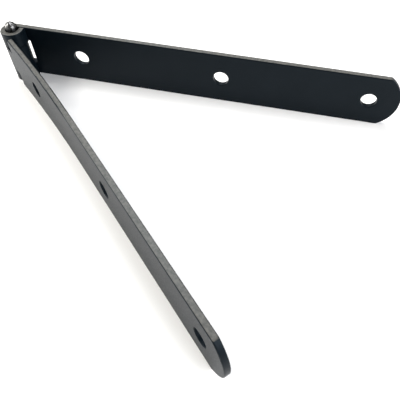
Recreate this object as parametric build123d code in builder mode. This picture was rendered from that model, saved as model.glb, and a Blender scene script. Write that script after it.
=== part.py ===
from build123d import *
import math
import os

# Strap hinge: two equal straps of flat bar, rolled at one end around a common pin.
# Leaf A carries the two outer knuckles and the pin, leaf B the middle knuckle.
# Millimetres, +Z up along the pin. The origin is the middle hole of leaf A, on its mounting face.

# Straps
strap_width = 30.0
strap_thickness = 3.0
leaf_reach = 211.0
end_rise = 8.05
corner_round = 1.5
edge_round = 0.6

# Fixing holes, three in a row on the middle line of each strap
hole_radius = 4.25
first_hole = 35.0
last_hole_to_tip = 16.0
hole_count = 3
hole_edge = 0.3

# Pin: a plain shaft with a slightly wider round head, domed, at its upper end
pin_radius = 3.0
head_overhang = 0.25
head_stand = 0.9
pin_recess = 0.4
pin_chamfer = 0.5

# Knuckles
middle_knuckle = 13.4
knuckle_gap = 0.3
running_clearance = 0.06
notch_clearance = 0.75
shoulder_clearance = 2.2
curl_seam = 0.15

# Leaf B is set inwards, over a shallow bend that starts at its knuckle
set_depth = 3.4
set_length = 80.0

# Angle between the leaves at rest
open_angle = 45.0

# Sizes that follow
bore_a = pin_radius
bore_b = pin_radius + running_clearance
barrel_a = bore_a + strap_thickness
barrel_b = bore_b + strap_thickness
notch_height = middle_knuckle + 2 * knuckle_gap
notch_reach = max(barrel_a, barrel_b) + notch_clearance
shoulder_reach = max(barrel_a, barrel_b) + shoulder_clearance
head_radius = pin_radius + head_overhang
middle_hole = (first_hole + leaf_reach - last_hole_to_tip) / 2
hole_pitch = (leaf_reach - last_hole_to_tip - first_hole) / (hole_count - 1)
rim_round = min(edge_round, 0.4 * strap_thickness)
end_radius = (strap_width**2 / 4 + end_rise**2) / (2 * end_rise)
set_lean = math.degrees(2 * math.atan(set_depth / set_length))

# Each leaf is drawn on a plane of its own: X runs from the pin to the strap's tip, Y out of the
# mounting face, and the plane lies at half the height of the pin.
pin_centre = Vector(-middle_hole, -barrel_a, 0)
opening = math.radians(open_angle)
leaf_a_plane = Plane(origin=pin_centre, x_dir=(1, 0, 0), z_dir=(0, 0, 1))
leaf_b_plane = Plane(
    origin=pin_centre,
    x_dir=(math.cos(opening), -math.sin(opening), 0),
    z_dir=(0, 0, -1),
)


def rolled_section(bore, lean):
    """The bar's edge view: the tail that meets the strap, the curl around the pin, and the strap.

    The curl of a leaning strap is turned by the same angle, so the strap leaves it pointing
    inwards and straightens over a shallow bend.
    """
    middle = bore + strap_thickness / 2
    with BuildSketch() as section:
        with BuildLine():
            tail = Vector(middle, bore - curl_seam).rotate(Axis.Z, -lean)
            curl = CenterArc((0, 0), middle, -lean, -270)
            Line(tail, curl @ 0)
            end = curl @ 1
            if lean > 0:
                set_radius = set_length / math.sin(math.radians(lean))
                bend = JernArc(end, curl % 1, set_radius, lean)
                end = bend @ 1
            Line(end, (leaf_reach, end.Y))
        trace(line_width=strap_thickness)
    return section.sketch


def strap_outline(barrel):
    """The bar's face view, with its shallow round end and the fixing holes."""
    half = strap_width / 2
    shoulder = leaf_reach - end_rise
    with BuildSketch() as outline:
        with BuildLine():
            Polyline((shoulder, half), (-barrel, half), (-barrel, -half), (shoulder, -half))
            ThreePointArc((shoulder, -half), (leaf_reach, 0), (shoulder, half))
        make_face()
        fillet(outline.vertices().filter_by_position(Axis.X, shoulder, shoulder), corner_round)
        with Locations((middle_hole, 0)):
            with GridLocations(hole_pitch, strap_width, hole_count, 1):
                Circle(hole_radius, mode=Mode.SUBTRACT)
    return outline.sketch


def soften_edges(leaf):
    """Rounds the long edges, the knuckle's end faces and the strap's end, and breaks the hole rims."""
    half = strap_width / 2
    circles = leaf.edges().filter_by(GeomType.CIRCLE)
    tip = circles.filter_by(lambda edge: abs(edge.radius - end_radius) < 0.001)
    corners = circles.filter_by(lambda edge: abs(edge.radius - corner_round) < 0.001)
    sides = leaf.edges().filter_by_position(Axis.Z, half, half)
    sides += leaf.edges().filter_by_position(Axis.Z, -half, -half)
    fillet(sides + tip + corners, rim_round)
    rims = leaf.edges().filter_by(GeomType.CIRCLE)
    chamfer(rims.filter_by(lambda edge: abs(edge.radius - hole_radius) < 0.001), hole_edge)


# Leaf A: strap with two outer knuckles, notched in the middle
with BuildPart() as leaf_a:
    with BuildSketch(leaf_a_plane):
        add(rolled_section(bore_a, 0))
    extrude(amount=strap_width / 2, both=True)
    with BuildSketch(Plane(origin=pin_centre, x_dir=leaf_a_plane.x_dir, z_dir=leaf_a_plane.y_dir)):
        add(strap_outline(barrel_a))
        with Locations((notch_reach, 0)):
            Rectangle(
                notch_reach + barrel_a,
                notch_height,
                align=(Align.MAX, Align.CENTER),
                mode=Mode.SUBTRACT,
            )
    extrude(amount=barrel_a, both=True, mode=Mode.INTERSECT)
    soften_edges(leaf_a)
leaf_a.part.label = "leaf_a"

# Leaf B: strap with the middle knuckle, both of its corners cut away
with BuildPart() as leaf_b:
    with BuildSketch(leaf_b_plane):
        add(rolled_section(bore_b, set_lean))
    extrude(amount=strap_width / 2, both=True)
    with BuildSketch(Plane(origin=pin_centre, x_dir=leaf_b_plane.x_dir, z_dir=leaf_b_plane.y_dir)):
        add(strap_outline(barrel_b))
        cut_height = (strap_width - middle_knuckle) / 2
        for side in (-1, 1):
            with Locations((shoulder_reach, side * strap_width / 2)):
                Rectangle(
                    shoulder_reach + barrel_b,
                    2 * cut_height,
                    align=(Align.MAX, Align.CENTER),
                    mode=Mode.SUBTRACT,
                )
    extrude(amount=barrel_b, both=True, mode=Mode.INTERSECT)
    soften_edges(leaf_b)
leaf_b.part.label = "leaf_b"

# Pin: pressed into leaf A, with its polished head standing on the upper knuckle
with BuildPart() as pin:
    foot = pin_recess - strap_width / 2
    neck = strap_width / 2
    with BuildSketch(Plane(origin=pin_centre).offset(foot)):
        Circle(pin_radius)
    extrude(amount=neck - foot)
    chamfer(pin.edges().filter_by(GeomType.CIRCLE).sort_by(Axis.Z)[0], pin_chamfer)
    with BuildSketch(Plane(origin=pin_centre).offset(neck)):
        Circle(head_radius)
    extrude(amount=head_stand)
    with Locations(pin_centre + Vector(0, 0, neck + head_stand)):
        Sphere(head_radius, arc_size1=0, align=(Align.CENTER, Align.CENTER, Align.MIN))
pin.part.label = "pin"

os.makedirs("parts", exist_ok=True)
for piece in (leaf_a, leaf_b, pin):
    export_step(piece.part, f"parts/{piece.part.label}.step")
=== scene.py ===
"""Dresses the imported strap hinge: black coated straps, a burnished pin, and a pale studio."""

import math

import bpy
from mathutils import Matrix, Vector


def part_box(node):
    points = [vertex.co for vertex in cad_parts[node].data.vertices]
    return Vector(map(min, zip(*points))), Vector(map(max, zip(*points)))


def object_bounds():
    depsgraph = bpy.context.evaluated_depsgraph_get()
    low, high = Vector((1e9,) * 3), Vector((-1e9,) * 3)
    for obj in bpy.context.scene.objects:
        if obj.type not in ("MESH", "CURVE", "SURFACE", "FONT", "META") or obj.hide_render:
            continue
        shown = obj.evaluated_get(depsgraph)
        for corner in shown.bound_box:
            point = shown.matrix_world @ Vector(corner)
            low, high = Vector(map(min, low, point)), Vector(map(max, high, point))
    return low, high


bl_info = {
    "name": "Strap hinge finishes",
    "version": (1, 0, 0),
    "blender": (4, 5, 0),
    "location": "3D View > Sidebar > Strap hinge",
    "description": "Finishes for a rolled strap hinge, with a studio to show it in",
    "category": "Object",
}

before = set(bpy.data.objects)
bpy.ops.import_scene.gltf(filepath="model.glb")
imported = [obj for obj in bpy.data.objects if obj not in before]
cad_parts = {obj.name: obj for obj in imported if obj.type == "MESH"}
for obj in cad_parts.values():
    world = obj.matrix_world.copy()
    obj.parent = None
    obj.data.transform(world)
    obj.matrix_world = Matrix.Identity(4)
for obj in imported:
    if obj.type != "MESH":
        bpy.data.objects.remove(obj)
CAD_BOX = [list(corner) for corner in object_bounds()]
MM = 0.001

LEAVES = ("leaf_a", "leaf_b")
PIN = "pin"
PIN_AXIS = [(low + high) / 2 for low, high in zip(*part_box(PIN))][:2]
STRAP_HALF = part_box(LEAVES[0])[1][2]

# Coating of the straps. A pair is a range: of a noise, which lies around 0.5, or of how level a
# surface is, from 0 for a wall to 1 for a flat top.
CLOUD_SIZE = 18 * MM
RUB_SIZE = 1.5 * MM
RUB_RANGE = (0.35, 0.65)
LEAST_RUBBED = 0.55
STIPPLE_RANGE = (0.3, 0.7)
STIPPLE_DEPTH = 0.02 * MM
EDGE_DEPTH = 0.5 * MM
EDGE_LEVEL = (0.8, 0.95)

# Steel of the pin
RING_PITCH = 0.35 * MM
RING_DEPTH = 0.01 * MM
# Range of levelness over which the painted shade at the foot of the dome fades out
FOOT_SHADE_LEVEL = (0.15, 0.55)
QUARTER_TURN = 0.25

# What the stipple and the rings take off the roughness, and what they add
GLOSS_SPREAD = (-0.04, 0.06)

# Floor
FLOOR_HEIGHT = CAD_BOX[0][2]
FLOOR_RADIUS = 3.0
FLOOR_SIDES = 96
FIBRE_SIZE = 2 * MM
FIBRE_DEPTH = 0.05 * MM

# Lights, all turned to one point: place, width, height and tint of each softbox
LIT_POINT = (-0.02, -0.05, 0)
SOFTBOXES = {
    "top": ((-0.28, 0.52, 1.0), 0.25, 0.8, "#FBFCFF"),
    "back": ((-0.15, 0.85, 0.85), 1.2, 0.25, "#FFFFFF"),
    "left": ((-1.8, 0.17, 0.45), 1.2, 0.6, "#FFFCF6"),
    "high": ((-0.8, 0.0, 0.8), 0.6, 0.4, "#FFFDF9"),
    "right": ((0.9, -0.3, 0.5), 1.1, 0.2, "#FAFBFF"),
}

# Camera: its angles in degrees, and its sensor in millimetres as the lens is
CAMERA_PLACE = (36.8 * MM, -202.28 * MM, 162.76 * MM)
CAMERA_ANGLES = (36.49, -1.452, 11.145)
CAMERA_SHIFT = -0.0594
SENSOR_WIDTH = 36.0
NEAR_LIMIT = 10 * MM

# Sockets of a mix of two colours, by number because others on the node have the same names
SHARE, FIRST, SECOND, MIXED = 0, 6, 7, 2


def linear(hex_colour):
    """The scene-linear value of an sRGB hex colour such as #1D1F20."""
    parts = [int(hex_colour[i : i + 2], 16) / 255 for i in (1, 3, 5)]
    return tuple(c / 12.92 if c <= 0.04045 else ((c + 0.055) / 1.055) ** 2.4 for c in parts)


def add_node(tree, kind, sockets=None, output=0, **settings):
    """Adds a node, sets its properties, fills or links its inputs, and returns one output."""
    made = tree.nodes.new(kind)
    for name, value in settings.items():
        setattr(made, name, value)
    for key, value in (sockets or {}).items():
        if isinstance(value, bpy.types.NodeSocket):
            tree.links.new(value, made.inputs[key])
        else:
            made.inputs[key].default_value = value
    return made.outputs[output] if made.outputs else None


def new_material(name):
    """An empty node material, and the tree to fill."""
    material = bpy.data.materials.new(name)
    material.use_nodes = True
    material.node_tree.nodes.clear()
    return material, material.node_tree


def dress(name, material):
    """Gives a CAD node the finish, in place of the plain one it was packed with."""
    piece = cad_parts[name]
    piece.data.materials.clear()
    piece.data.materials.append(material)


class CoatedSteel(bpy.types.PropertyGroup):
    """The black coating of the straps."""

    colour: bpy.props.FloatVectorProperty(
        name="Colour",
        description="Colour of the coating",
        subtype="COLOR",
        size=3,
        min=0,
        max=1,
        default=linear("#050C11"),
    )
    haze: bpy.props.FloatVectorProperty(
        name="Haze",
        description="Colour of the paler clouds in the coating",
        subtype="COLOR",
        size=3,
        min=0,
        max=1,
        default=linear("#0D141A"),
    )
    # Painted highlight: the narrow edges are drawn paler, for the light that falls on them.
    edge: bpy.props.FloatVectorProperty(
        name="Edge",
        description="Colour of the narrow edges, where the coating is thinner",
        subtype="COLOR",
        size=3,
        min=0,
        max=1,
        default=linear("#64635F"),
    )
    reflection: bpy.props.FloatVectorProperty(
        name="Reflection",
        description="Tint of what the coating reflects when it is seen face on",
        subtype="COLOR",
        size=3,
        min=0,
        max=1,
        default=linear("#C1D2DE"),
    )
    roughness: bpy.props.FloatProperty(
        name="Roughness",
        description="Roughness of the coating on the faces",
        subtype="FACTOR",
        min=0,
        max=1,
        default=0.42,
    )
    edge_roughness: bpy.props.FloatProperty(
        name="Edge roughness",
        description="Roughness of the coating on the edges",
        subtype="FACTOR",
        min=0,
        max=1,
        default=0.3,
    )
    ior: bpy.props.FloatProperty(
        name="IOR",
        description="Refractive index of the coating, low for a resin because its shine is weak",
        min=1,
        max=2,
        default=1.26,
    )
    stipple: bpy.props.FloatProperty(
        name="Stipple",
        description="Width of the coating's fine stipple",
        subtype="DISTANCE",
        unit="LENGTH",
        default=0.6 * MM,
    )


class PolishedSteel(bpy.types.PropertyGroup):
    """The bare steel of the pin."""

    colour: bpy.props.FloatVectorProperty(
        name="Colour",
        description="Colour of the steel",
        subtype="COLOR",
        size=3,
        min=0,
        max=1,
        default=linear("#787878"),
    )
    # Painted shade: the steel is drawn darker around the foot of the dome and down the shaft.
    foot: bpy.props.FloatVectorProperty(
        name="Foot",
        description="Colour of the steel around the foot of the dome, where blacking crept onto it",
        subtype="COLOR",
        size=3,
        min=0,
        max=1,
        default=linear("#2C2D2E"),
    )
    rim: bpy.props.FloatVectorProperty(
        name="Rim",
        description="Tint of the steel where it is seen at a glancing angle",
        subtype="COLOR",
        size=3,
        min=0,
        max=1,
        default=linear("#101010"),
    )
    roughness: bpy.props.FloatProperty(
        name="Roughness",
        description="Roughness of the polish",
        subtype="FACTOR",
        min=0,
        max=1,
        default=0.32,
    )


class Studio(bpy.types.PropertyGroup):
    """Floor, lights and camera."""

    floor_colour: bpy.props.FloatVectorProperty(
        name="Floor",
        description="Colour of the floor",
        subtype="COLOR",
        size=3,
        min=0,
        max=1,
        default=linear("#FBFBFA"),
    )
    top_light: bpy.props.FloatProperty(
        name="Top light",
        description="Power of the narrow softbox above",
        unit="POWER",
        default=7.2,
    )
    back_light: bpy.props.FloatProperty(
        name="Back light",
        description="Power of the long softbox behind",
        unit="POWER",
        default=3.1,
    )
    left_light: bpy.props.FloatProperty(
        name="Left light",
        description="Power of the low, far softbox at the left",
        unit="POWER",
        default=29.5,
    )
    high_light: bpy.props.FloatProperty(
        name="High light",
        description="Power of the high softbox at the left",
        unit="POWER",
        default=10.5,
    )
    right_light: bpy.props.FloatProperty(
        name="Right light",
        description="Power of the long softbox at the right",
        unit="POWER",
        default=12.5,
    )
    room: bpy.props.FloatProperty(
        name="Room",
        description="Brightness of the room around the studio",
        min=0,
        default=0.15,
    )
    lens: bpy.props.FloatProperty(
        name="Lens",
        description="Focal length of the camera, in millimetres on a 36 mm sensor",
        subtype="DISTANCE_CAMERA",
        unit="CAMERA",
        default=41.4,
    )


def narrow_edges(tree, place):
    """A mask that is 1 on the long edges of a strap and 0 on its faces, holes and notch."""
    normal = add_node(tree, "ShaderNodeTexCoord", output="Normal")
    upward = add_node(tree, "ShaderNodeSeparateXYZ", {"Vector": normal}, "Z")
    level = add_node(
        tree,
        "ShaderNodeMapRange",
        {
            "Value": add_node(tree, "ShaderNodeMath", {0: upward}, operation="ABSOLUTE"),
            "From Min": EDGE_LEVEL[0],
            "From Max": EDGE_LEVEL[1],
        },
    )
    height = add_node(tree, "ShaderNodeSeparateXYZ", {"Vector": place}, "Z")
    outermost = add_node(
        tree,
        "ShaderNodeMath",
        {
            0: add_node(tree, "ShaderNodeMath", {0: height}, operation="ABSOLUTE"),
            1: STRAP_HALF - EDGE_DEPTH,
        },
        operation="GREATER_THAN",
    )
    return add_node(tree, "ShaderNodeMath", {0: level, 1: outermost}, operation="MULTIPLY")


class HINGE_OT_coat_straps(bpy.types.Operator):
    """Coats both straps in satin black"""

    bl_idname = "hinge.coat_straps"
    bl_label = "Coat the straps"

    def execute(self, context):
        look = context.scene.coated_steel
        # Powder coat, baked on over flat bar: a satin black with soft clouds where it lay thicker.
        # It reflects slightly blue face on and turns grey at grazing angles. The real stipple is
        # about 0.2 mm wide and wouldn't show from here, so it is drawn coarser. The narrow edges
        # are smoother, and they are painted paler in patches: a painted highlight for the light on
        # them.
        material, tree = new_material("powder_coated_steel_black")
        place = add_node(tree, "ShaderNodeTexCoord", output="Object")
        clouds = add_node(
            tree,
            "ShaderNodeTexNoise",
            {"Vector": place, "Scale": 1 / CLOUD_SIZE, "Detail": 4.0, "Roughness": 0.55},
        )
        cloudy = add_node(
            tree,
            "ShaderNodeMix",
            {SHARE: clouds, FIRST: (*look.colour, 1), SECOND: (*look.haze, 1)},
            MIXED,
            data_type="RGBA",
        )
        # This mask carries the painted highlight of the narrow edges and their smoother finish.
        edges = narrow_edges(tree, place)
        rubs = add_node(
            tree,
            "ShaderNodeTexNoise",
            {"Vector": place, "Scale": 1 / RUB_SIZE, "Detail": 3.0, "Roughness": 0.6},
        )
        bare = add_node(
            tree,
            "ShaderNodeMapRange",
            {
                "Value": rubs,
                "From Min": RUB_RANGE[0],
                "From Max": RUB_RANGE[1],
                "To Min": LEAST_RUBBED,
            },
        )
        # The paler edge colour is a painted highlight, laid on the narrow edges in patches.
        sheen_and_rubs = add_node(tree, "ShaderNodeMath", {0: edges, 1: bare}, operation="MULTIPLY")
        colour = add_node(
            tree,
            "ShaderNodeMix",
            {SHARE: sheen_and_rubs, FIRST: cloudy, SECOND: (*look.edge, 1)},
            MIXED,
            data_type="RGBA",
        )
        stipple = add_node(tree, "ShaderNodeTexNoise", {"Vector": place, "Scale": 1 / look.stipple})
        smooth = add_node(
            tree,
            "ShaderNodeMapRange",
            {"Value": edges, "To Min": look.roughness, "To Max": look.edge_roughness},
        )
        uneven = add_node(
            tree,
            "ShaderNodeMapRange",
            {
                "Value": stipple,
                "From Min": STIPPLE_RANGE[0],
                "From Max": STIPPLE_RANGE[1],
                "To Min": GLOSS_SPREAD[0],
                "To Max": GLOSS_SPREAD[1],
            },
        )
        relief = add_node(
            tree,
            "ShaderNodeBump",
            {"Strength": 0.6, "Distance": STIPPLE_DEPTH, "Height": stipple},
        )
        shader = add_node(
            tree,
            "ShaderNodeBsdfPrincipled",
            {
                "Base Color": colour,
                "Roughness": add_node(tree, "ShaderNodeMath", {0: smooth, 1: uneven}),
                "IOR": look.ior,
                "Specular Tint": (*look.reflection, 1),
                "Normal": relief,
            },
        )
        add_node(tree, "ShaderNodeOutputMaterial", {"Surface": shader})
        for name in LEAVES:
            dress(name, material)
        return {"FINISHED"}


class HINGE_OT_polish_pin(bpy.types.Operator):
    """Polishes the pin and its domed end"""

    bl_idname = "hinge.polish_pin"
    bl_label = "Polish the pin"

    def execute(self, context):
        look = context.scene.polished_steel
        # Steel rod, its end turned to a dome and burnished dark. The rings that the tool left
        # around the axis draw each light out into a streak that runs down from the pole, and the
        # rim goes dark at a glancing angle. The foot of the dome and the shaft are painted darker:
        # painted shade where the dome meets the knuckle. The real rings lie about 0.1 mm apart and
        # wouldn't show, so they are coarser.
        material, tree = new_material("turned_polished_steel")
        place = add_node(tree, "ShaderNodeTexCoord", output="Object")
        centred = add_node(
            tree,
            "ShaderNodeVectorMath",
            {0: place, 1: (*PIN_AXIS, 0)},
            operation="SUBTRACT",
        )
        rings = add_node(
            tree,
            "ShaderNodeTexWave",
            {"Vector": centred, "Scale": 1 / RING_PITCH / math.tau, "Distortion": 1.5},
            "Fac",
            wave_type="RINGS",
            rings_direction="Z",
        )
        smear = add_node(
            tree,
            "ShaderNodeMapRange",
            {
                "Value": rings,
                "To Min": look.roughness + GLOSS_SPREAD[0],
                "To Max": look.roughness + GLOSS_SPREAD[1],
            },
        )
        relief = add_node(
            tree,
            "ShaderNodeBump",
            {"Strength": 0.05, "Distance": RING_DEPTH, "Height": rings},
        )
        normal = add_node(tree, "ShaderNodeTexCoord", output="Normal")
        # Painted shade: darker from the top of the dome down to its foot and the shaft.
        unshaded = add_node(
            tree,
            "ShaderNodeMapRange",
            {
                "Value": add_node(tree, "ShaderNodeSeparateXYZ", {"Vector": normal}, "Z"),
                "From Min": FOOT_SHADE_LEVEL[0],
                "From Max": FOOT_SHADE_LEVEL[1],
            },
        )
        colour = add_node(
            tree,
            "ShaderNodeMix",
            {SHARE: unshaded, FIRST: (*look.foot, 1), SECOND: (*look.colour, 1)},
            MIXED,
            data_type="RGBA",
        )
        around = add_node(tree, "ShaderNodeTangent", direction_type="RADIAL", axis="Z")
        shader = add_node(
            tree,
            "ShaderNodeBsdfPrincipled",
            {
                "Base Color": colour,
                "Metallic": 1.0,
                "Specular Tint": (*look.rim, 1),
                "Roughness": smear,
                "Anisotropic": 0.9,
                "Anisotropic Rotation": QUARTER_TURN,
                "Tangent": around,
                "Normal": relief,
            },
        )
        add_node(tree, "ShaderNodeOutputMaterial", {"Surface": shader})
        dress(PIN, material)
        return {"FINISHED"}


def lay_floor(colour):
    """The studio's floor, under the lowest point of the hinge."""
    # Matt card, pale: it shows no gloss and almost no fibre.
    material, tree = new_material("matt_card_pale")
    place = add_node(tree, "ShaderNodeTexCoord", output="Object")
    fibres = add_node(tree, "ShaderNodeTexNoise", {"Vector": place, "Scale": 1 / FIBRE_SIZE})
    relief = add_node(
        tree,
        "ShaderNodeBump",
        {"Strength": 0.05, "Distance": FIBRE_DEPTH, "Height": fibres},
    )
    shader = add_node(
        tree,
        "ShaderNodeBsdfPrincipled",
        {
            "Base Color": (*colour, 1),
            "Roughness": 0.9,
            "Specular IOR Level": 0.1,
            "Normal": relief,
        },
    )
    add_node(tree, "ShaderNodeOutputMaterial", {"Surface": shader})
    bpy.ops.mesh.primitive_circle_add(
        vertices=FLOOR_SIDES,
        radius=FLOOR_RADIUS,
        fill_type="NGON",
        location=(0, 0, FLOOR_HEIGHT),
    )
    floor = bpy.context.object
    floor.name = "floor"
    floor.data.materials.append(material)


def hang_softbox(name, power):
    """One of the softboxes, facing the point that all of them light."""
    place, width, height, tint = SOFTBOXES[name]
    data = bpy.data.lights.new(f"{name}_softbox", "AREA")
    data.color = linear(tint)
    data.shape, data.size, data.size_y, data.energy = "RECTANGLE", width, height, power
    light = bpy.data.objects.new(f"{name}_softbox", data)
    light.location = place
    aim = Vector(LIT_POINT) - Vector(place)
    light.rotation_euler = aim.to_track_quat("-Z", "Y").to_euler()
    bpy.context.collection.objects.link(light)


def light_room(strength):
    """Fills the room around the studio with an even, dim white."""
    world = bpy.data.worlds.new("studio_room")
    bpy.context.scene.world = world
    world.use_nodes = True
    backdrop = world.node_tree.nodes["Background"]
    backdrop.inputs["Color"].default_value = (1, 1, 1, 1)
    backdrop.inputs["Strength"].default_value = strength


def place_camera(lens):
    """The camera, looking down along both straps from beside the open end."""
    data = bpy.data.cameras.new("camera")
    data.sensor_width, data.lens = SENSOR_WIDTH, lens
    data.shift_x, data.clip_start = CAMERA_SHIFT, NEAR_LIMIT
    camera = bpy.data.objects.new("camera", data)
    camera.location = CAMERA_PLACE
    camera.rotation_euler = [math.radians(angle) for angle in CAMERA_ANGLES]
    bpy.context.collection.objects.link(camera)
    bpy.context.scene.camera = camera


class HINGE_OT_set_stage(bpy.types.Operator):
    """Lays the floor, hangs the lights and places the camera"""

    bl_idname = "hinge.set_stage"
    bl_label = "Set the stage"

    def execute(self, context):
        look = context.scene.studio
        lay_floor(look.floor_colour)
        for name in SOFTBOXES:
            hang_softbox(name, getattr(look, f"{name}_light"))
        light_room(look.room)
        place_camera(look.lens)
        context.scene.view_settings.view_transform = "Standard"
        return {"FINISHED"}


class HINGE_PT_finishes(bpy.types.Panel):
    """Lists the finishes and the studio"""

    bl_idname = "HINGE_PT_finishes"
    bl_label = "Strap hinge"
    bl_space_type = "VIEW_3D"
    bl_region_type = "UI"
    bl_category = "Strap hinge"

    def draw(self, context):
        for settings, operator in SECTIONS:
            box = self.layout.box()
            group = getattr(context.scene, settings)
            for name in type(group).__annotations__:
                box.prop(group, name)
            box.operator(operator)


SECTIONS = (
    ("coated_steel", "hinge.coat_straps"),
    ("polished_steel", "hinge.polish_pin"),
    ("studio", "hinge.set_stage"),
)
GROUPS = {"coated_steel": CoatedSteel, "polished_steel": PolishedSteel, "studio": Studio}
CLASSES = (
    *GROUPS.values(),
    HINGE_OT_coat_straps,
    HINGE_OT_polish_pin,
    HINGE_OT_set_stage,
    HINGE_PT_finishes,
)


def register():
    for cls in CLASSES:
        bpy.utils.register_class(cls)
    for name, group in GROUPS.items():
        setattr(bpy.types.Scene, name, bpy.props.PointerProperty(type=group))


def unregister():
    for name in GROUPS:
        delattr(bpy.types.Scene, name)
    for cls in reversed(CLASSES):
        bpy.utils.unregister_class(cls)


def main():
    """Runs every operator in order."""
    register()
    bpy.ops.hinge.coat_straps()
    bpy.ops.hinge.polish_pin()
    bpy.ops.hinge.set_stage()


if __name__ == "__main__":
    main()
